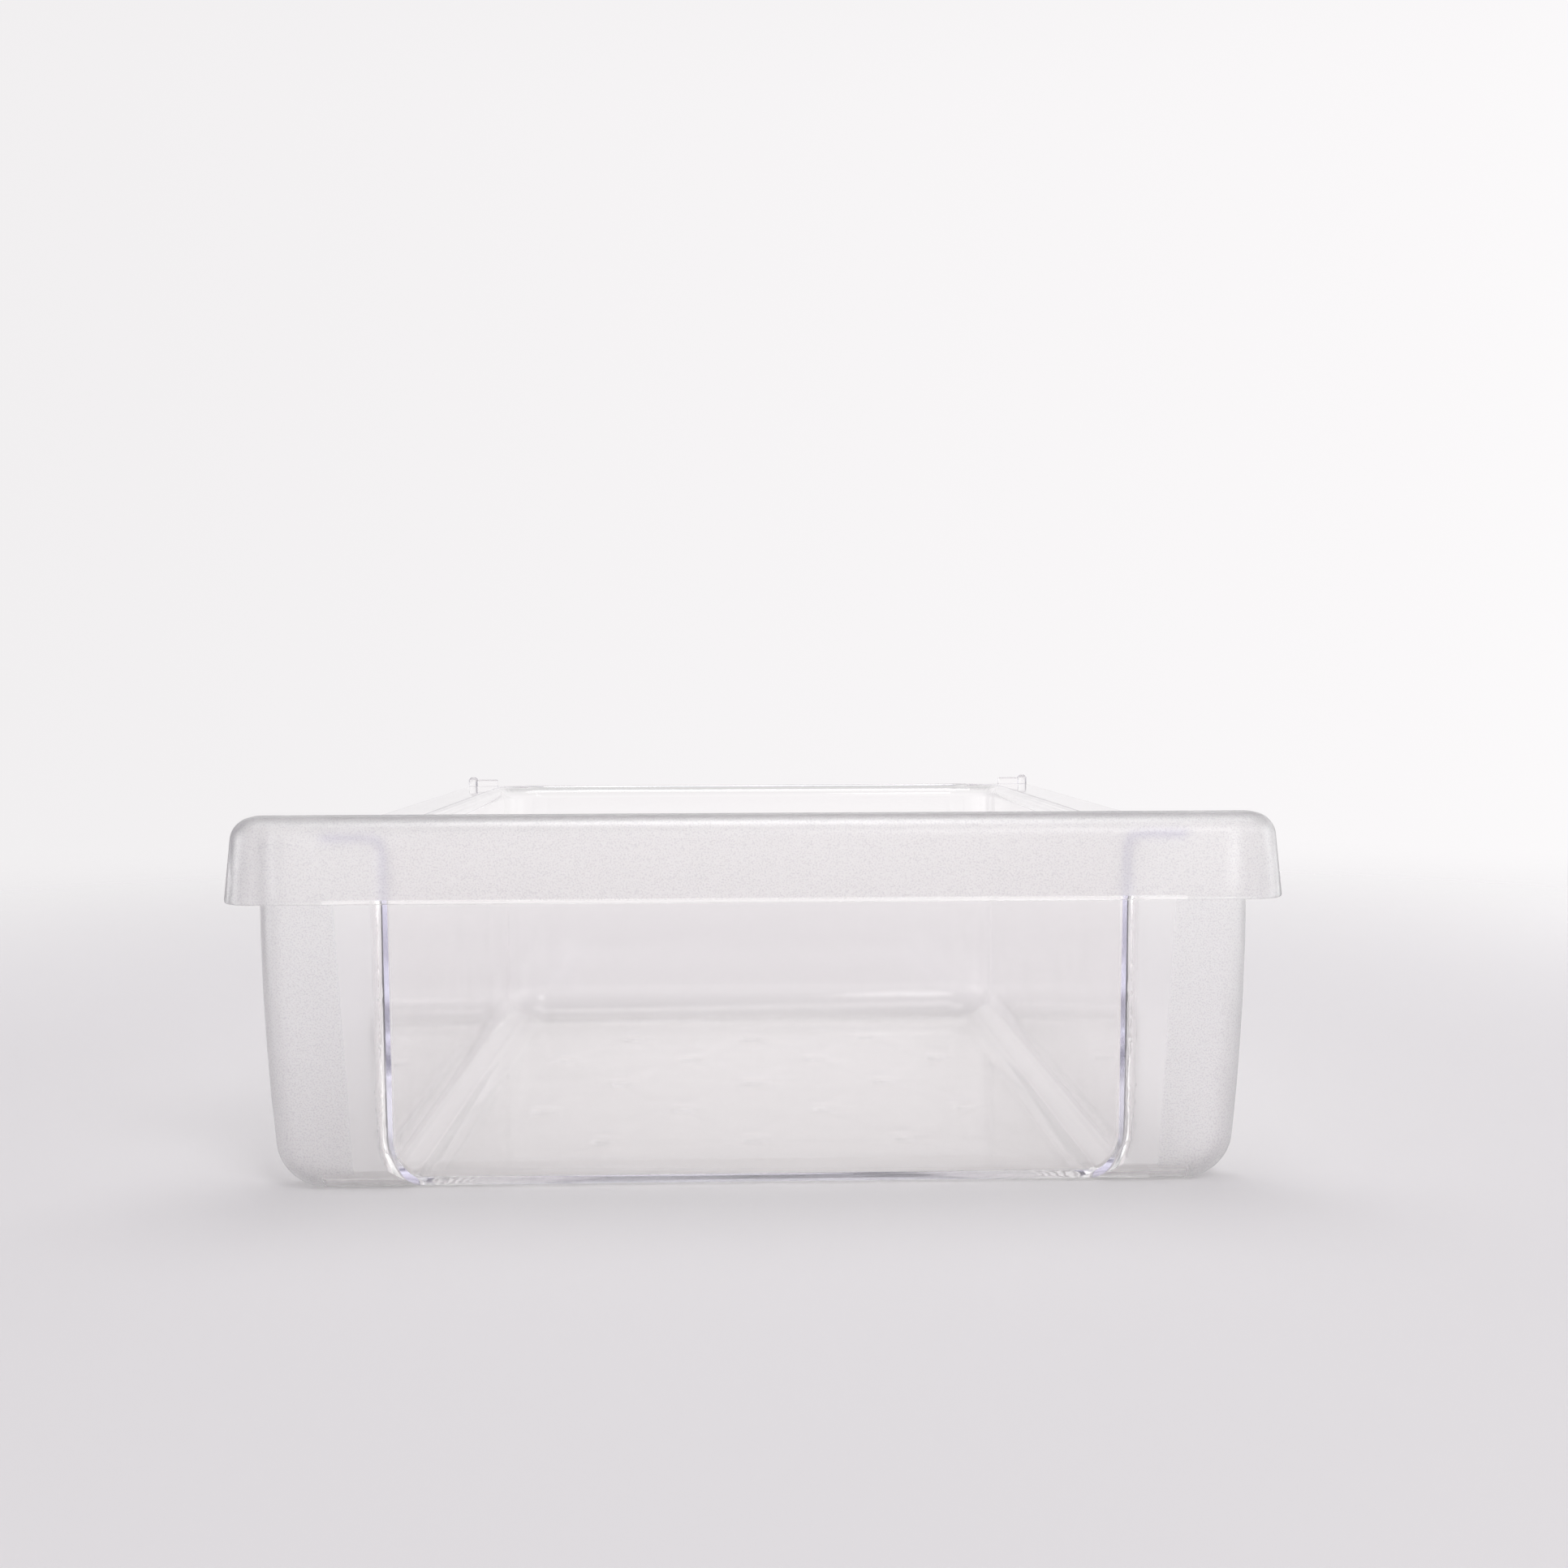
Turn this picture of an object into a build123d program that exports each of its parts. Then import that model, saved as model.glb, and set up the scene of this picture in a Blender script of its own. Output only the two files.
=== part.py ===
"""Refrigerator snack pan: one clear moulding with a winged front, a hooded handle and side runners.

Frame: X across the pan, +Y to its rear, Z up. The origin is on the underside, below the middle.
"""
import os
from math import radians, sqrt, tan

from build123d import *

# Overall sizes
overall_width = 387.8  # across the lower edge of the handle
overall_depth = 383.0  # handle front to rear rim
rim_height = 133.5  # top of the side runners and the rear rim
wall = 2.5
floor_thickness = 2.8
draft = 0.6  # degrees, on the tub walls

# Tub and its rim
tub_width = 278.2  # outside, at the rim
runner_width = 21.7  # each side runner, from the tub wall outwards
rear_rim_width = 6.0  # the rim behind the rear wall
floor_radius = 20.0  # outside, where the walls meet the floor
corner_radius = 24.0  # rear corners at the rim, outside
roll_radius = 7.0  # rolled inner edge of the rim
rim_corner = 6.0
edge_round = 0.9  # softened free edges of the runners, the rim, the wings and the stops

# Front panel with its wings
panel_setback = 17.0  # panel face behind the front of the handle
root_radius = 6.0  # hollow round between the back of the panel and the outside of the tub
wing_span = 370.5
wing_return = 18.0  # how far the outer edges turn back
wing_edge_radius = 12.0  # round from the face to the turned-back edge
wing_bow = 6.5  # the outline draws in by this much on its way down
wing_corner = 19.0  # lower corners, seen from the front

# Handle, a hood that is open below
handle_rise = 7.0  # top of the handle above the runners
handle_drop = 31.2
handle_taper = 6.0  # degrees, front face and ends
handle_edge = 9.0  # round along the top
handle_corner = 13.0  # front corners seen from above, at the lower edge
handle_rear_corner = 16.0  # rear corners seen from above
lip_round = 1.1  # lower edge, outside

# Rear stops on the runners
stop_height = 5.2
stop_rib = 3.0
stop_post = 5.4  # diameter
stop_crown = 1.4  # bevel on top of the post
stop_inset = 5.0  # from the rear edge of the rim

# Round pads raised on the floor, in staggered rows
pad_diameter = 18.6
pad_height = 0.25  # low dome
pad_pitch = 61.7
pad_first_row = 85.0  # behind the front of the handle
pad_rows = 5
pad_row_counts = (3, 4)  # pads in odd rows and in even rows

# Derived
front = -overall_depth / 2
rear = overall_depth / 2
panel_face = front + panel_setback
panel_back = panel_face + wall
panel_middle = panel_face + wall / 2
handle_top = rim_height + handle_rise
handle_bottom = handle_top - handle_drop
runner_edge = tub_width / 2 + runner_width

UPRIGHT = (Align.CENTER, Align.CENTER, Align.MIN)


def rounded_section(corners):
    """Closed section from corners given as (x, y) or (x, y, radius)."""
    section = make_face(Polyline(*[corner[:2] for corner in corners], close=True))
    for corner in corners:
        if len(corner) == 3:
            vertex = section.vertices().sort_by_distance((corner[0], corner[1], 0))[0]
            section = fillet(vertex, corner[2])
    return section


def carry_round(section, bend_x, bend_y, start):
    """Carry a section along one side, round a bend and across to the other side.

    The section's first axis points outwards from the bends at (+-bend_x, bend_y). The sides
    begin at the lesser Y.
    """
    facing = {"x_dir": (1, 0, 0), "z_dir": (0, -1, 0)}
    side = extrude(Plane((bend_x, start, 0), **facing) * section, amount=start - bend_y)
    bend = revolve(Plane((bend_x, bend_y, 0), **facing) * section, Axis((bend_x, bend_y, 0), (0, 0, 1)), 90)
    across = extrude(Plane((0, bend_y, 0), x_dir=(0, 1, 0), z_dir=(1, 0, 0)) * section, amount=bend_x)
    half = side + bend + across
    return half + mirror(half, about=Plane.YZ)


def block(x_range, y_range, z_range):
    """Box between three pairs of limits."""
    sizes = [high - low for low, high in (x_range, y_range, z_range)]
    middle = [(high + low) / 2 for low, high in (x_range, y_range, z_range)]
    return Pos(*middle) * Box(*sizes)


def make_tub():
    """Floor, three walls and the rolled rim, trimmed to the inside of the panel."""
    lean = tan(radians(draft))
    outside = corner_radius
    inside = outside - wall
    rim_out = outside + rear_rim_width - edge_round
    section = rounded_section([
        (0, 0),
        (outside - rim_height * lean, 0, floor_radius),
        (outside - wall * lean, rim_height - wall, roll_radius - wall),
        (rim_out, rim_height - wall),
        (rim_out, rim_height),
        (inside, rim_height, roll_radius),
        (inside - (rim_height - floor_thickness) * lean, floor_thickness, floor_radius - wall),
        (0, floor_thickness),
    ])
    bend_x = tub_width / 2 - corner_radius
    bend_y = rear - rear_rim_width - corner_radius
    tub = carry_round(section, bend_x, bend_y, panel_face)
    tub += block((-bend_x, bend_x), (panel_face, bend_y), (0, floor_thickness))
    return (tub + make_runners() + make_roots()) & behind_panel()


def make_roots():
    """Hollow rounds where the outside of the tub meets the panel, down each wall and under the floor."""
    lean = tan(radians(draft))
    grip = wall / 2
    side = tub_width / 2
    high = rim_height - grip
    middle = root_radius * (1 - sqrt(0.5))
    outline = Polyline(
        (root_radius, 0), (root_radius, -grip), (-grip, -grip), (-grip, root_radius), (0, root_radius)
    )
    outline += ThreePointArc((0, root_radius), (middle, middle), (root_radius, 0))
    profile = Plane((side - grip * lean, panel_back, high)) * make_face(outline)
    below = side - rim_height * lean
    drop = FilletPolyline(
        (side - grip * lean, high), (below, 0), (side - 2 * floor_radius, 0), radius=floor_radius
    )
    root = sweep(profile, Plane((0, panel_back, 0), x_dir=(1, 0, 0), z_dir=(0, -1, 0)) * drop)
    return root + mirror(root, about=Plane.YZ)


def make_runners():
    """Flat runners beside the tub at rim height, filled in round its rear corners."""
    reach = rear - panel_face
    plan = Pos(0, panel_face + reach / 2) * Rectangle(2 * runner_edge, reach)
    plan = fillet(plan.vertices().sort_by(Axis.Y)[-2:], rim_corner)
    plate = extrude(Pos(0, 0, rim_height - wall) * plan, amount=wall)
    free_edges = (plate.edges() - plate.edges().filter_by(Axis.Z)).sort_by(Axis.Y)[2:]
    plate = chamfer(free_edges, edge_round)
    gap = tub_width + rear_rim_width
    well = Pos(0, panel_face + (reach - rear_rim_width / 2) / 2) * Rectangle(gap, reach - rear_rim_width / 2)
    well = fillet(well.vertices().sort_by(Axis.Y)[-2:], corner_radius + rear_rim_width / 2)
    return plate - extrude(Pos(0, 0, rim_height - wall) * well, amount=wall)


def behind_panel():
    """Everything behind the middle of the panel's wall, round its lower edge too."""
    heel = panel_face + wing_edge_radius
    radius = wing_edge_radius - wall / 2
    shoulder = radius * (1 - sqrt(0.5))
    outline = Polyline(
        (heel, wall / 2), (heel, -1), (rear + 1, -1), (rear + 1, handle_top), (panel_middle, handle_top),
        (panel_middle, wing_edge_radius),
    )
    outline += ThreePointArc(
        (panel_middle, wing_edge_radius), (panel_middle + shoulder, wall / 2 + shoulder), (heel, wall / 2)
    )
    return extrude(Plane.YZ * make_face(outline), amount=overall_width, both=True)


def wing_solid(inset, depth):
    """Front panel outline, drawn in all round by an inset, with its front edge rounded."""
    half_width = wing_span / 2 - inset
    foot = (half_width - wing_bow, inset)
    bend = (half_width, handle_bottom)
    outline = Polyline(foot, (0, inset), (0, rim_height), (half_width, rim_height), bend)
    outline += TangentArc(bend, foot, tangent=(0, -1))
    shape = make_face(outline)
    shape = fillet(shape.vertices().sort_by_distance((*foot, 0))[0], wing_corner - inset)
    shape += mirror(shape, about=Plane.YZ)
    place = Plane((0, panel_face + inset, 0), x_dir=(1, 0, 0), z_dir=(0, -1, 0))
    solid = extrude(place * shape, amount=-depth)
    edges = solid.faces().sort_by(Axis.Y)[0].edges().sort_by(Axis.Z)[:-1]
    return fillet(edges, wing_edge_radius - inset)


def make_panel():
    """Front panel and wings: a shallow tray that is open to the rear and at its top."""
    tray = wing_solid(0, wing_return) - wing_solid(wall, wing_return)
    rims = tray.faces().sort_by(Axis.Y)[-1].edges()
    return chamfer(rims, edge_round)


def hood_solid(inset):
    """Handle block with tapered, rounded sides, drawn in all round by an inset."""
    lean = tan(radians(handle_taper))
    top = handle_top - inset
    below = handle_bottom - inset
    outside = handle_corner - inset
    foot = (outside + inset * lean, below) if inset else (outside, below, lip_round)
    section = rounded_section([
        (0, below),
        foot,
        (outside - (top - handle_bottom) * lean, top, handle_edge - inset),
        (0, top),
    ])
    bend_x = overall_width / 2 - handle_corner
    bend_y = front + handle_corner
    back = panel_back - inset
    hood = Rot(0, 0, 180) * carry_round(section, bend_x, -bend_y, -back)
    hood += block((-bend_x, bend_x), (bend_y, back), (below, top))
    plan = Pos(0, back - overall_depth / 2) * Rectangle(overall_width - 2 * inset, overall_depth)
    plan = fillet(plan.vertices().sort_by(Axis.Y)[-2:], handle_rear_corner - inset)
    return hood & extrude(Pos(0, 0, below) * plan, amount=top - below)


def make_handle():
    """Hooded handle; its rear wall carries the panel on upwards."""
    return hood_solid(0) - hood_solid(wall)


def make_stops():
    """Raised stop at the rear end of each runner: a cross rib with a round post at its outer end."""
    inner = tub_width / 2 - wall + roll_radius
    foot = rim_height - wall / 2
    height = wall / 2 + stop_height
    post_x = runner_edge - stop_post / 2 - edge_round
    middle = rear - stop_inset - stop_post / 2
    post = Pos(post_x, middle, foot) * Cylinder(stop_post / 2, height, align=UPRIGHT)
    post = chamfer(post.edges().sort_by(Axis.Z)[-1], stop_crown)
    thickness = (middle - stop_rib / 2, middle + stop_rib / 2)
    rib = block((inner, post_x), thickness, (foot, foot + height - stop_crown))
    rib = fillet(rib.faces().sort_by(Axis.Z)[-1].edges().filter_by(Axis.X), edge_round)
    stop = post + rib
    return stop + mirror(stop, about=Plane.YZ)


def make_pads():
    """Low round domes on the floor, each rooted halfway into it."""
    crown = floor_thickness + pad_height
    root = floor_thickness / 2
    ball = pad_diameter ** 2 / (8 * pad_height) + pad_height / 2
    above = Pos(0, 0, root) * Box(pad_pitch, pad_pitch, crown, align=UPRIGHT)
    pad = Pos(0, 0, crown - ball) * Rot(0, 90, 0) * Sphere(ball) & above  # poles to the sides
    pads = []
    for row in range(pad_rows):
        count = pad_row_counts[row % 2]
        for column in range(count):
            x = (column - (count - 1) / 2) * pad_pitch
            y = front + pad_first_row + row * pad_pitch * sqrt(0.75)
            pads.append(Pos(x, y, 0) * pad)
    return pads


pan = make_tub() + make_panel() + make_handle() + make_stops() + make_pads()

os.makedirs("parts", exist_ok=True)
export_step(pan, "parts/snack_pan.step")
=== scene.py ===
"""Clear refrigerator snack pan with a grained hood handle and wings, on a pale studio floor."""
import logging
import math
from dataclasses import dataclass, field
from enum import Enum

import bmesh
import bpy
import numpy as np
from mathutils import Matrix, Vector


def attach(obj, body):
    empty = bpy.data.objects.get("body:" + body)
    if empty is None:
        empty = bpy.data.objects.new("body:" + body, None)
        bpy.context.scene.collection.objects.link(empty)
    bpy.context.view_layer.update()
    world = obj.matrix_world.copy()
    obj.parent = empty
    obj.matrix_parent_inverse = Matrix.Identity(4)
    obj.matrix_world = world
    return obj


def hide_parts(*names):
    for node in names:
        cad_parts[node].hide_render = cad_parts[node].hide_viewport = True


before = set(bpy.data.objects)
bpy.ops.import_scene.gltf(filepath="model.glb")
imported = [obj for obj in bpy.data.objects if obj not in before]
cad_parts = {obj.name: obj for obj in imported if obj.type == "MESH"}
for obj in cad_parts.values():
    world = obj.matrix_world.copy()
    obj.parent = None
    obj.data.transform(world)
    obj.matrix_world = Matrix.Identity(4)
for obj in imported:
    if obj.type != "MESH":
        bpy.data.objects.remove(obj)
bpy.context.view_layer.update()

MM = 0.001

log = logging.getLogger("snack_pan")


class Side(Enum):
    """Which mould half a face of the pan was formed by."""

    POLISHED = 0.0
    GRAINED = 1.0


def linear(hex_code: str) -> tuple[float, float, float, float]:
    """Turn an sRGB hex colour into linear RGBA.

    Args:
        hex_code: colour as "#RRGGBB".

    Returns:
        Linear red, green and blue, with an alpha of 1.
    """
    encoded = np.array([int(hex_code[i:i + 2], 16) for i in (1, 3, 5)]) / 255.0
    rgb = np.where(encoded <= 0.04045, encoded / 12.92, ((encoded + 0.055) / 1.055) ** 2.4)
    return (*rgb.tolist(), 1.0)


def level(strength: float) -> tuple[float, float, float, float]:
    """Return a grey of a given strength, where 1 is white."""
    return (strength, strength, strength, 1.0)


def add_node(tree: bpy.types.NodeTree, kind: str, inputs: dict | None = None, **settings) -> bpy.types.Node:
    """Add a node with its settings, its values and its links.

    Args:
        tree: node tree that gets the node.
        kind: Blender's name of the node type.
        inputs: value, or socket to link from, for each input by name or number.
        **settings: properties of the node itself.

    Returns:
        The new node.
    """
    node = tree.nodes.new(kind)
    for name, value in settings.items():
        setattr(node, name, value)
    for key, value in (inputs or {}).items():
        if isinstance(value, bpy.types.NodeSocket):
            tree.links.new(value, node.inputs[key])
        else:
            node.inputs[key].default_value = value
    return node


def empty_material(name: str) -> bpy.types.Material:
    """Make a node material with nothing in it.

    Args:
        name: the material's name.

    Returns:
        The new material.
    """
    material = bpy.data.materials.new(name)
    material.use_nodes = True
    material.node_tree.nodes.clear()
    return material


def link_object(name: str, data: bpy.types.ID) -> bpy.types.Object:
    """Make an object and link it into the scene at the origin.

    Args:
        name: the object's name.
        data: its mesh, lamp or camera.

    Returns:
        The new object.
    """
    item = bpy.data.objects.new(name, data)
    bpy.context.scene.collection.objects.link(item)
    return item


@dataclass(frozen=True)
class TextureLine:
    """Edge of the mould texture on the front: a slanted line on each wing, and the handle above."""

    handle_bottom: float = 109.3 * MM
    lip: float = 1.3 * MM  # polished band along the lower edge of the handle
    half_span_high: float = 156.0 * MM  # from the middle to the line, at the handle
    half_span_low: float = 149.5 * MM  # from the middle to the line, at the floor
    blur: float = 0.6 * MM

    @property
    def slope(self) -> float:
        """How far the line moves out for each metre of height."""
        return (self.half_span_high - self.half_span_low) / self.handle_bottom


@dataclass(frozen=True)
class CrystalPlastic:
    """Crystal styrene copolymer, injection moulded: water clear and polished, faintly violet in depth.

    Polished mould faces give clean reflections and an almost undisturbed view through. Where the
    mould was etched, the skin has a fine grain that scatters what is behind it to a pale frost.
    """

    skin: str = "#FFFEFE"
    pit_painted_shade: str = "#E0DEE2"  # painted shade: the grain's hollows are coloured darker, standing in for the dark speckle the etched skin shows by scattering light
    painted_shade_heights: tuple[float, float] = (0.52, 0.38)  # of the noise, where the painted shade of the hollows begins and where it is full
    ior: float = 1.57
    polished: float = 0.05
    frosted: float = 0.4
    grain: float = 0.6 * MM  # etched grain; the real one is about half that, too fine to show
    grain_octaves: float = 3.0
    grain_roughness: float = 0.65
    grain_depth: float = 0.1 * MM
    ripple: float = 38.0 * MM  # slow waviness of the moulded walls
    ripple_octaves: float = 1.0
    ripple_depth: float = 0.06 * MM
    depth_tint: str = "#BCAFFF"
    depth_density: float = 0.35  # per metre

    def material(self, line: TextureLine) -> bpy.types.Material:
        """Make the plastic, grained outside the texture line, with painted shade in the grain's hollows.

        Args:
            line: edge of the mould texture.

        Returns:
            The material. It reads Object coordinates and the mesh's "grained" attribute.
        """
        made = empty_material("crystal_plastic")
        tree = made.node_tree
        place = add_node(tree, "ShaderNodeTexCoord").outputs["Object"]
        mask = self.grain_mask(tree, place, line)
        rough = add_node(tree, "ShaderNodeMapRange", {
            "Value": mask, "To Min": self.polished, "To Max": self.frosted,
        })
        ripple = add_node(tree, "ShaderNodeTexNoise", {
            "Vector": place, "Scale": 1.0 / self.ripple, "Detail": self.ripple_octaves,
        })
        waves = add_node(tree, "ShaderNodeBump", {
            "Height": ripple.outputs["Fac"], "Strength": 1.0, "Distance": self.ripple_depth,
        })
        etch = add_node(tree, "ShaderNodeTexNoise", {
            "Vector": place, "Scale": 1.0 / self.grain, "Detail": self.grain_octaves,
            "Roughness": self.grain_roughness,
        })
        height = add_node(tree, "ShaderNodeMath", {0: etch.outputs["Fac"], 1: mask}, operation="MULTIPLY")
        shallow, deep = self.painted_shade_heights
        # painted shade: the grain's hollows get the darker colour, standing in for the speckle that
        # scattered light makes on the etched skin
        painted_shade_mask = add_node(tree, "ShaderNodeMapRange", {
            "Value": etch.outputs["Fac"], "From Min": shallow, "From Max": deep, "To Max": mask,
        })
        shade = add_node(tree, "ShaderNodeMix", {
            "Factor": painted_shade_mask.outputs["Result"], "A": linear(self.skin), "B": linear(self.pit_painted_shade),
        }, data_type="RGBA")
        grain = add_node(tree, "ShaderNodeBump", {
            "Height": height.outputs[0], "Strength": 1.0, "Distance": self.grain_depth,
            "Normal": waves.outputs["Normal"],
        })
        shader = add_node(tree, "ShaderNodeBsdfPrincipled", {
            "Base Color": shade.outputs["Result"], "IOR": self.ior, "Transmission Weight": 1.0,
            "Roughness": rough.outputs["Result"], "Normal": grain.outputs["Normal"],
        })
        depth = add_node(tree, "ShaderNodeVolumeAbsorption", {
            "Color": linear(self.depth_tint), "Density": self.depth_density,
        })
        add_node(tree, "ShaderNodeOutputMaterial", {
            "Surface": shader.outputs["BSDF"], "Volume": depth.outputs["Volume"],
        })
        return made

    def grain_mask(
        self, tree: bpy.types.NodeTree, place: bpy.types.NodeSocket, line: TextureLine
    ) -> bpy.types.NodeSocket:
        """Work out where the grain is: 1 on the handle and the wings' outer parts, else 0.

        Args:
            tree: node tree of the plastic.
            place: Object coordinates.
            line: edge of the mould texture.

        Returns:
            Socket with the mask.
        """
        axes = add_node(tree, "ShaderNodeSeparateXYZ", {0: place})
        off_middle = add_node(tree, "ShaderNodeMath", {0: axes.outputs["X"]}, operation="ABSOLUTE")
        edge = add_node(tree, "ShaderNodeMath", {
            0: axes.outputs["Z"], 1: line.slope, 2: line.half_span_low,
        }, operation="MULTIPLY_ADD")
        beyond = add_node(tree, "ShaderNodeMath", {
            0: off_middle.outputs[0], 1: edge.outputs[0],
        }, operation="SUBTRACT")
        wing = add_node(tree, "ShaderNodeMapRange", {
            "Value": beyond.outputs[0], "From Min": -line.blur, "From Max": line.blur,
        }, interpolation_type="SMOOTHSTEP")
        hood = add_node(tree, "ShaderNodeMapRange", {
            "Value": axes.outputs["Z"], "From Min": line.handle_bottom + line.lip,
            "From Max": line.handle_bottom + line.lip + line.blur,
        })
        either = add_node(tree, "ShaderNodeMath", {
            0: wing.outputs["Result"], 1: hood.outputs["Result"],
        }, operation="MAXIMUM")
        side = add_node(tree, "ShaderNodeAttribute", attribute_name="grained")
        return add_node(tree, "ShaderNodeMath", {
            0: either.outputs[0], 1: side.outputs["Fac"],
        }, operation="MULTIPLY").outputs[0]


@dataclass
class PanMoulding:
    """The pan: one moulding with a tub, runners, a winged front panel and a hooded handle."""

    node: str = "snack_pan"
    name: str = "pan_moulding"
    slot: str = "clear_plastic"
    body: str = "root"
    weld: float = 0.002 * MM
    sliver: float = 0.0005 * MM  # shorter edges are closed up
    crease: float = 50.0  # degrees; sharper edges stay crisp
    panel_face: float = -174.5 * MM
    panel_back: float = -172.0 * MM
    wing_back: float = -157.0 * MM
    hood_reach: float = 4.0 * MM  # the front of the handle lies at least this far before the panel
    wing_margin: float = 30.0 * MM  # the wings' rounds count from this far inside the texture line
    facing: float = 0.2  # least part of a unit normal that counts as facing a way
    slightly_facing: float = 0.05
    squarely_facing: float = 0.9
    line: TextureLine = field(default_factory=TextureLine)
    plastic: CrystalPlastic = field(default_factory=CrystalPlastic)

    def build(self) -> bpy.types.Object:
        """Copy the moulding's faces as one welded skin with smooth rounds and crisp edges.

        Returns:
            The pan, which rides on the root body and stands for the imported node.
        """
        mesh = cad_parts[self.node].data.copy()
        mesh.name = self.name
        skin = bmesh.new()
        skin.from_mesh(mesh)
        bmesh.ops.remove_doubles(skin, verts=skin.verts, dist=self.weld)
        bmesh.ops.dissolve_degenerate(skin, edges=skin.edges, dist=self.sliver)
        skin.to_mesh(mesh)
        skin.free()
        mesh.attributes.remove(mesh.attributes["custom_normal"])
        mesh.polygons.foreach_set("use_smooth", np.ones(len(mesh.polygons), bool))
        mesh.set_sharp_from_angle(angle=math.radians(self.crease))
        pan = link_object(self.name, mesh)
        normals = pan.modifiers.new("even_normals", "WEIGHTED_NORMAL")
        normals.keep_sharp = True
        self.mark_grain(mesh)
        mesh.materials.clear()
        mesh.materials.append(self.plastic.material(self.line))
        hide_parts(self.node)
        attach(pan, self.body)
        return pan

    def mark_grain(self, mesh: bpy.types.Mesh) -> None:
        """Mark the faces that the etched mould half formed.

        A face is grained where its outward normal points forwards, up or out to its own side, and it
        lies on the outside of the handle or on the front of a wing.

        Args:
            mesh: the pan's mesh, which gets a face attribute.
        """
        count = len(mesh.polygons)
        centre = np.empty(count * 3)
        normal = np.empty(count * 3)
        mesh.polygons.foreach_get("center", centre)
        mesh.polygons.foreach_get("normal", normal)
        x, y, z = centre.reshape(-1, 3).T
        nx, ny, nz = normal.reshape(-1, 3).T
        outward = nx * np.sign(x)
        in_hood = (z > self.line.handle_bottom) & (y < self.panel_back)
        hood_front = (ny < -self.facing) & (y < self.panel_face - self.hood_reach)
        hood_rest = (outward > self.facing) | (nz > self.facing)
        in_wing = (z < self.line.handle_bottom) & (y < self.wing_back)
        wing = (ny < -self.slightly_facing) | (outward > self.facing) | (nz < -self.facing)
        wing_part = np.abs(x) > self.line.half_span_low - self.wing_margin
        wing_outside = wing & wing_part | (ny < -self.squarely_facing)
        grained = in_hood & (hood_front | hood_rest) | in_wing & wing_outside
        values = np.where(grained, Side.GRAINED.value, Side.POLISHED.value).astype(np.float32)
        mesh.attributes.new("grained", "FLOAT", "FACE").data.foreach_set("value", values)


@dataclass(frozen=True)
class PaperSweep:
    """Matt white background paper: an even pale tone with no gloss."""

    colour: str = "#EFEDEE"
    roughness: float = 0.5
    fade_from: float = 0.3
    fade_to: float = 1.6

    def material(self) -> bpy.types.Material:
        """Make matt paper that fades into the backdrop far from the pan.

        Returns:
            The material. It reads Object coordinates.
        """
        made = empty_material("white_paper")
        tree = made.node_tree
        place = add_node(tree, "ShaderNodeTexCoord").outputs["Object"]
        away = add_node(tree, "ShaderNodeVectorMath", {0: place}, operation="LENGTH")
        fade = add_node(tree, "ShaderNodeMapRange", {
            "Value": away.outputs["Value"], "From Min": self.fade_from, "From Max": self.fade_to,
        }, interpolation_type="SMOOTHSTEP")
        paper = add_node(tree, "ShaderNodeBsdfDiffuse", {
            "Color": linear(self.colour), "Roughness": self.roughness,
        })
        clear = add_node(tree, "ShaderNodeBsdfTransparent")
        both = add_node(tree, "ShaderNodeMixShader", {
            0: fade.outputs["Result"], 1: paper.outputs["BSDF"], 2: clear.outputs["BSDF"],
        })
        add_node(tree, "ShaderNodeOutputMaterial", {"Surface": both.outputs["Shader"]})
        return made


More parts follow.
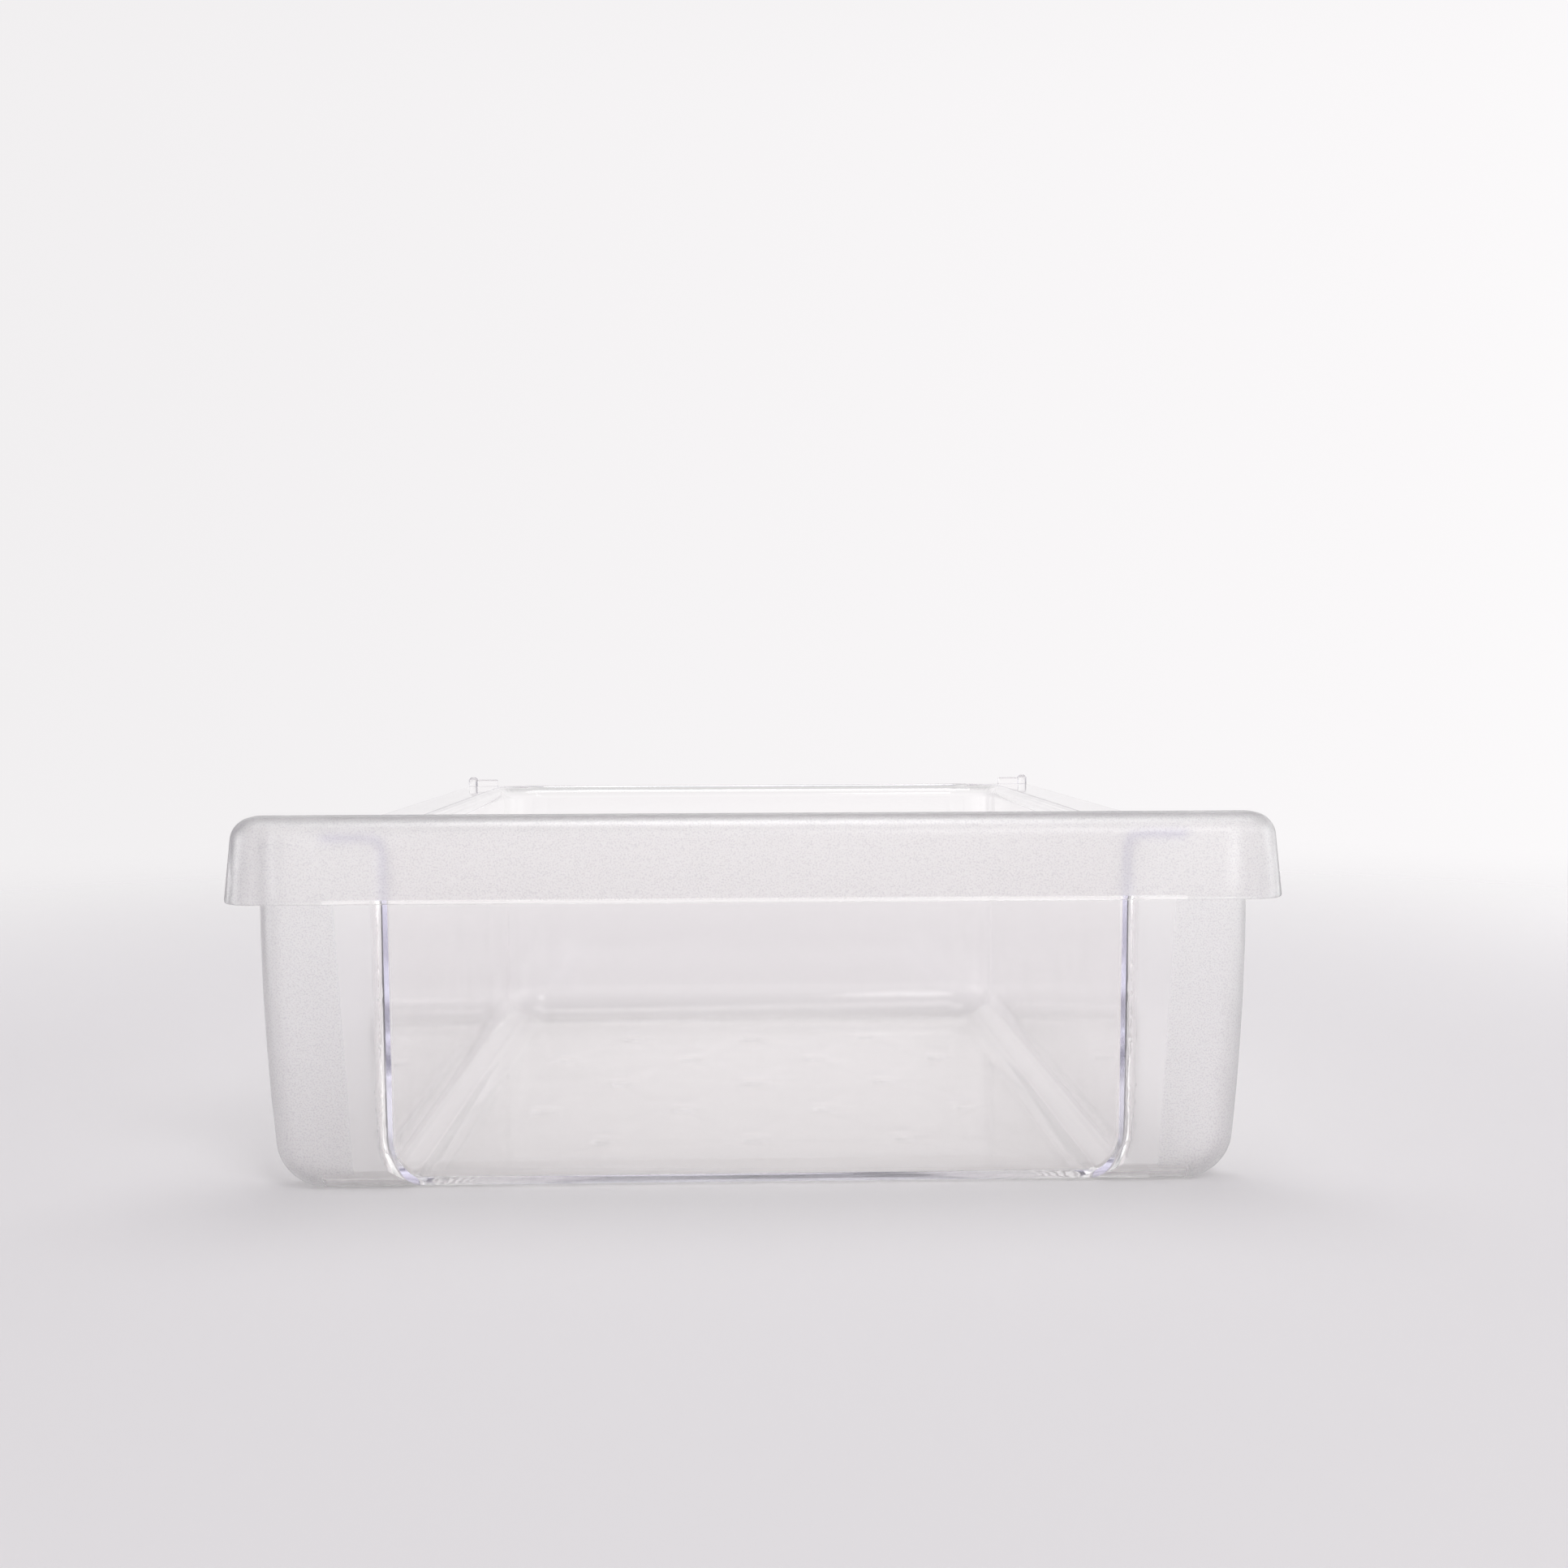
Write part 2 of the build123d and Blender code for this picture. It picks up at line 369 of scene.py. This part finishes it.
@dataclass(frozen=True)
class PaleRoom:
    """Surroundings in pale tones, which depend on the direction and on the kind of ray.

    A ramp runs from far left to far right behind the pan, with a bright front, a bright panel to
    each side, and less light from above. What the plastic mirrors has no side panels and a darker top.
    Each pair of limits is a part of the unit direction, where the change begins and where it ends.
    """

    round_tones: tuple[tuple[float, str], ...] = (  # place from far left, 0, to far right, 1, and tone
        (0.1, "#96949A"), (0.21, "#A4A2A7"), (0.275, "#C4C2C7"), (0.3, "#F0EEEF"), (0.5, "#F5F3F4"),
        (0.68, "#F9F7F8"), (0.85, "#FFFFFF"),
    )
    front_level: float = 1.15
    front_limits: tuple[float, float] = (-0.6, 0.5)
    panel_level: float = 1.5
    panel_limits: tuple[float, float] = (0.82, 0.95)
    gain: float = 1.01  # what is seen, directly or through the walls, against what they mirror
    top_level: float = 0.75
    top_limits: tuple[float, float] = (0.3, 0.7)
    mirrored_top: str = "#88868A"
    mirrored_top_limits: tuple[float, float] = (0.3, 0.8)
    mirrored_ground: str = "#DEDBDE"
    mirrored_ground_limits: tuple[float, float] = (0.05, -0.25)
    fill_tone: str = "#C8C6C9"  # lights the open paper
    through_level: float = 1.45  # lights the paper through the pan, as the clear walls gather light there

    def build(self) -> None:
        """Make the world and join its tones: what is seen, what is mirrored and what lights the paper."""
        world = bpy.data.worlds.new("pale_room")
        bpy.context.scene.world = world
        world.use_nodes = True
        tree = world.node_tree
        tree.nodes.clear()
        aim = add_node(tree, "ShaderNodeTexCoord").outputs["Generated"]
        axes = add_node(tree, "ShaderNodeSeparateXYZ", {0: aim})
        walls = self.walls(tree, axes)
        ray = add_node(tree, "ShaderNodeLightPath")
        tone = add_node(tree, "ShaderNodeMix", {
            "Factor": ray.outputs["Is Reflection Ray"], "A": self.seen(tree, axes, walls),
            "B": self.mirrored(tree, axes, walls),
        }, data_type="RGBA")
        fill = add_node(tree, "ShaderNodeMix", {
            "Factor": ray.outputs["Is Diffuse Ray"], "A": level(self.through_level),
            "B": linear(self.fill_tone),
        }, data_type="RGBA")
        either = add_node(tree, "ShaderNodeMix", {
            "Factor": ray.outputs["Diffuse Depth"], "A": tone.outputs["Result"], "B": fill.outputs["Result"],
        }, data_type="RGBA")
        lit = add_node(tree, "ShaderNodeBackground", {"Color": either.outputs["Result"], "Strength": 1.0})
        add_node(tree, "ShaderNodeOutputWorld", {"Surface": lit.outputs["Background"]})

    def walls(self, tree: bpy.types.NodeTree, axes: bpy.types.Node) -> bpy.types.NodeSocket:
        """Lay the tones all round: the ramp behind the pan and the even front.

        Args:
            tree: node tree of the world.
            axes: node with the parts of the direction.

        Returns:
            Socket with the tone.
        """
        across = add_node(tree, "ShaderNodeMapRange", {"Value": axes.outputs["X"], "From Min": -1.0})
        backdrop = add_node(tree, "ShaderNodeValToRGB", {"Fac": across.outputs["Result"]})
        stops = backdrop.color_ramp.elements
        given = len(stops)
        for step, (place, tone) in enumerate(self.round_tones):
            stop = stops[step] if step < given else stops.new(place)
            stop.position = place
            stop.color = linear(tone)
        start, end = self.front_limits
        depth = add_node(tree, "ShaderNodeMapRange", {
            "Value": axes.outputs["Y"], "From Min": start, "From Max": end,
        }, interpolation_type="SMOOTHSTEP")
        return add_node(tree, "ShaderNodeMix", {
            "Factor": depth.outputs["Result"], "A": level(self.front_level), "B": backdrop.outputs["Color"],
        }, data_type="RGBA").outputs["Result"]

    def mirrored(
        self, tree: bpy.types.NodeTree, axes: bpy.types.Node, walls: bpy.types.NodeSocket
    ) -> bpy.types.NodeSocket:
        """Add what the plastic mirrors from above and below.

        Args:
            tree: node tree of the world.
            axes: node with the parts of the direction.
            walls: tones all round.

        Returns:
            Socket with the tone.
        """
        start, end = self.mirrored_top_limits
        above = add_node(tree, "ShaderNodeMapRange", {
            "Value": axes.outputs["Z"], "From Min": start, "From Max": end,
        }, interpolation_type="SMOOTHSTEP")
        topped = add_node(tree, "ShaderNodeMix", {
            "Factor": above.outputs["Result"], "A": walls, "B": linear(self.mirrored_top),
        }, data_type="RGBA")
        start, end = self.mirrored_ground_limits
        below = add_node(tree, "ShaderNodeMapRange", {
            "Value": axes.outputs["Z"], "From Min": start, "From Max": end,
        }, interpolation_type="SMOOTHSTEP")
        return add_node(tree, "ShaderNodeMix", {
            "Factor": below.outputs["Result"], "A": topped.outputs["Result"],
            "B": linear(self.mirrored_ground),
        }, data_type="RGBA").outputs["Result"]

    def seen(
        self, tree: bpy.types.NodeTree, axes: bpy.types.Node, walls: bpy.types.NodeSocket
    ) -> bpy.types.NodeSocket:
        """Add what is seen directly or through the plastic: the side panels and the top.

        Args:
            tree: node tree of the world.
            axes: node with the parts of the direction.
            walls: tones all round.

        Returns:
            Socket with the tone.
        """
        brighter = add_node(tree, "ShaderNodeMix", {
            "Factor": 1.0, "A": walls, "B": level(self.gain),
        }, data_type="RGBA", blend_type="MULTIPLY")
        sideways = add_node(tree, "ShaderNodeMath", {0: axes.outputs["X"]}, operation="ABSOLUTE")
        start, end = self.panel_limits
        panel = add_node(tree, "ShaderNodeMapRange", {
            "Value": sideways.outputs[0], "From Min": start, "From Max": end,
        }, interpolation_type="SMOOTHSTEP")
        sides = add_node(tree, "ShaderNodeMix", {
            "Factor": panel.outputs["Result"], "A": brighter.outputs["Result"], "B": level(self.panel_level),
        }, data_type="RGBA")
        start, end = self.top_limits
        high = add_node(tree, "ShaderNodeMapRange", {
            "Value": axes.outputs["Z"], "From Min": start, "From Max": end,
        }, interpolation_type="SMOOTHSTEP")
        return add_node(tree, "ShaderNodeMix", {
            "Factor": high.outputs["Result"], "A": sides.outputs["Result"], "B": level(self.top_level),
        }, data_type="RGBA").outputs["Result"]


@dataclass(frozen=True)
class Softbox:
    """Soft rectangular lamp, never mirrored in the plastic. Lengths are in metres."""

    name: str
    place: tuple[float, float, float]
    aim: tuple[float, float, float]
    size: tuple[float, float]
    watts: float
    through: bool  # whether it is seen through the plastic

    def build(self) -> bpy.types.Object:
        """Hang the lamp at its place, facing its aim.

        Returns:
            The lamp.
        """
        light = bpy.data.lights.new(self.name, "AREA")
        light.shape = "RECTANGLE"
        light.size, light.size_y = self.size
        light.energy = self.watts
        lamp = link_object(self.name, light)
        lamp.visible_glossy = False
        lamp.visible_transmission = self.through
        lamp.location = self.place
        lamp.rotation_euler = (Vector(self.aim) - Vector(self.place)).to_track_quat("-Z", "Y").to_euler()
        return lamp


@dataclass
class Studio:
    """Pale floor, pale surroundings and large soft lamps."""

    floor_radius: float = 1.7
    floor_rings: int = 24
    floor_sectors: int = 72
    first_ring: float = 0.02
    floor_drop: float = 0.05 * MM
    paper: PaperSweep = field(default_factory=PaperSweep)
    room: PaleRoom = field(default_factory=PaleRoom)
    softboxes: tuple[Softbox, ...] = (
        Softbox(
            "key_softbox", place=(0.35, -1.1, 1.0), aim=(0.0, -0.1, 0.05), size=(0.4, 0.4), watts=2.0,
            through=True,
        ),
        Softbox(
            "overhead_softbox", place=(0.05, 0.1, 1.15), aim=(0.0, 0.0, 0.0), size=(0.8, 0.6), watts=3.0,
            through=True,
        ),
        Softbox(
            "right_softbox", place=(1.1, 0.3, 0.1), aim=(0.0, 0.1, 0.1), size=(0.7, 0.6), watts=3.0,
            through=False,
        ),
        Softbox(
            "left_softbox", place=(-1.1, 0.3, 0.1), aim=(0.0, 0.1, 0.1), size=(0.7, 0.6), watts=1.5,
            through=False,
        ),
    )

    def build(self) -> bpy.types.Object:
        """Lay the floor, fill the world with its tones and hang the lamps.

        Returns:
            The floor.
        """
        floor = self.floor()
        self.room.build()
        for softbox in self.softboxes:
            softbox.build()
        return floor

    def floor(self) -> bpy.types.Object:
        """Lay the floor as a disc: its radius grows with the square of the ring, about the upright axis.

        Returns:
            The floor, which is no part of the object.
        """
        rings = np.linspace(self.first_ring, 1.0, self.floor_rings)
        turns = np.linspace(0, 2 * np.pi, self.floor_sectors, endpoint=False)
        ring, turn = np.meshgrid(rings, turns, indexing="ij")
        radius = self.floor_radius * ring ** 2
        depth = np.full_like(turn, -self.floor_drop)
        points = np.stack([radius * np.cos(turn), radius * np.sin(turn), depth], -1)
        index = np.arange(ring.size).reshape(ring.shape)
        after = np.roll(index, -1, axis=1)
        quads = np.stack([index[:-1], index[1:], after[1:], after[:-1]], -1).reshape(-1, 4)
        mesh = bpy.data.meshes.new("studio_floor")
        mesh.from_pydata(points.reshape(-1, 3).tolist(), [], [*quads.tolist(), index[0].tolist()])
        floor = link_object("studio_floor", mesh)
        mesh.materials.append(self.paper.material())
        return floor


@dataclass
class StraightOnCamera:
    """Camera low in front of the handle, a little to the left and almost level."""

    place: tuple[float, float, float] = (-0.0078978, -0.8174594, 0.1821515)
    yaw: float = -0.0280
    pitch: float = 0.0480
    roll: float = 0.0035
    focal_px: float = 2151.5
    frame_px: float = 1932.0
    sensor_mm: float = 36.0
    nearest: float = 0.01

    def build(self) -> bpy.types.Object:
        """Set up the camera: look along +Y, turned by yaw, tipped down by pitch, then rolled.

        Returns:
            The camera, which is made the scene's own.
        """
        data = bpy.data.cameras.new("front_camera")
        data.sensor_width = self.sensor_mm
        data.lens = self.sensor_mm * self.focal_px / self.frame_px
        data.clip_start = self.nearest
        across = Vector((math.cos(self.yaw), math.sin(self.yaw), 0.0))
        ahead = Vector((-math.sin(self.yaw), math.cos(self.yaw), 0.0))
        upright = Vector((0.0, 0.0, 1.0))
        look = math.cos(self.pitch) * ahead - math.sin(self.pitch) * upright
        top = math.sin(self.pitch) * ahead + math.cos(self.pitch) * upright
        right = math.cos(self.roll) * across - math.sin(self.roll) * top
        up = math.sin(self.roll) * across + math.cos(self.roll) * top
        camera = link_object("front_camera", data)
        turn = Matrix((right, up, -look)).transposed().to_4x4()
        camera.matrix_world = Matrix.Translation(self.place) @ turn
        bpy.context.scene.camera = camera
        return camera


@dataclass(frozen=True)
class LightBounces:
    """How often light may turn: it runs far along the inside of the clear walls."""

    total: int = 128
    glossy: int = 112
    transmission: int = 32

    def apply(self, scene: bpy.types.Scene) -> None:
        """Set the limits on a scene.

        Args:
            scene: scene that gets them.
        """
        scene.cycles.max_bounces = self.total
        scene.cycles.glossy_bounces = self.glossy
        scene.cycles.transmission_bounces = self.transmission


def main() -> None:
    """Build the pan, then the studio and the camera."""
    logging.basicConfig(level=logging.INFO, format="%(name)s: %(message)s")
    scene = bpy.context.scene
    scene.view_settings.view_transform = "Standard"
    LightBounces().apply(scene)
    pan = PanMoulding().build()
    log.info("%s: %d faces", pan.name, len(pan.data.polygons))
    log.info("%s laid", Studio().build().name)
    log.info("%s set", StraightOnCamera().build().name)


if __name__ == "__main__":
    main()
